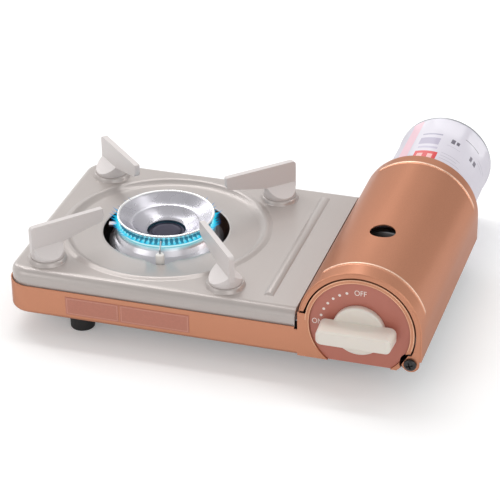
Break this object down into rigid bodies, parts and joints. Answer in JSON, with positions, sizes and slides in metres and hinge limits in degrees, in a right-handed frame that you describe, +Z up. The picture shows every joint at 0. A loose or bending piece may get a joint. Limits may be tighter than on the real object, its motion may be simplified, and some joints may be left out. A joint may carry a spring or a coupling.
{
  "type": "butane cassette stove",
  "caption": "Flat portable gas stove with one ring burner, blade pan supports and a gas can lying under a hinged round cover with a turning control knob.",
  "frame": {"origin": "centre of the bounding box's footprint, on the plane that the feet stand on", "axes": "+X from the burner towards the gas can's cover, +Y from the front with the knob towards the rear where the can stands out, +Z up"},
  "size_m": [0.2854, 0.261, 0.084],
  "materials": {
    "copper_paint": "metallic copper paint, satin",
    "greige_paint": "warm grey paint, satin",
    "pale_enamel": "pale grey enamel, semi-gloss",
    "rose_print": "printed film, matte",
    "cream_plastic": "moulded, semi-gloss",
    "black_plastic": "moulded, matte",
    "black_rubber": "matte",
    "black_screw": "black coating, satin",
    "polished_steel": "polished",
    "plain_steel": "zinc-plated, dull",
    "dark_steel": "heat-stained",
    "zinc_casting": "die cast, dull",
    "polished_aluminium": "rolled",
    "brass": "machined",
    "white_ceramic": "glazed",
    "can_white": "printed tinplate, gloss",
    "white_plastic": "moulded, matte"
  },
  "bodies": {
    "frame": {"case": "copper_paint", "base_pan": "plain_steel", "top_plate": "greige_paint", "partition": "plain_steel", "label_strip": "rose_print", "dial_plate": "rose_print", "igniter_body": "black_plastic", "igniter_lead": "black_rubber", "electrode_insulator": "white_ceramic", "electrode_wire": "plain_steel", "electrode_bracket": "plain_steel", "burner_base": "zinc_casting", "flame_ring": "dark_steel", "burner_bowl": "polished_steel", "burner_core": "dark_steel", "burner_bracket": "plain_steel", "burner_screws": "plain_steel", "mixing_tube": "plain_steel", "nozzle": "brass", "governor_body": "zinc_casting", "governor_cap": "plain_steel", "governor_screws": "plain_steel", "magnet_holder": "black_plastic", "magnet_ring": "dark_steel", "inlet_seal": "black_rubber", "heat_panel": "polished_aluminium", "support_front_left": "pale_enamel", "support_front_right": "pale_enamel", "support_rear_left": "pale_enamel", "support_rear_right": "pale_enamel", "support_screws": "plain_steel", "hinge_screws": "black_screw", "foot_front_left": "black_rubber", "foot_rear_left": "black_rubber", "foot_front_right": "black_rubber", "foot_rear_right": "black_rubber", "foot_screws": "plain_steel", "case_screws": "plain_steel", "plate_screws": "plain_steel"},
    "control": {"knob": "cream_plastic", "valve_spindle": "plain_steel", "igniter_cam": "white_plastic"},
    "plunger": {"igniter_plunger": "brass"},
    "lid": {"cover": "copper_paint", "cover_front_end": "copper_paint", "cover_rear_end": "copper_paint"},
    "can": {"can_body": "can_white", "can_dome": "plain_steel", "can_collar": "plain_steel", "can_stem": "white_plastic"}
  },
  "joints": [
    {"name": "knob_turn", "type": "hinge", "parent": "frame", "child": "control", "pos_m": [0.1017, -0.1135, 0.0422], "axis": [0, 1, 0], "range_deg": [0, 90]},
    {"name": "igniter_stroke", "type": "slide", "parent": "frame", "child": "plunger", "axis": [1, 0, 0], "range_m": [0, 0.004]},
    {"name": "cover_hinge", "type": "hinge", "parent": "frame", "child": "lid", "pos_m": [0.1356, -0.03, 0.0222], "axis": [0, 1, 0], "range_deg": [0, 100]},
    {"name": "can_slide", "type": "slide", "parent": "frame", "child": "can", "axis": [0, 1, 0], "range_m": [0, 0.03]}
  ],
  "couplings": [
    {"joint": "igniter_stroke", "follows": "knob_turn", "m_per_rad": 0.002546}
  ]
}
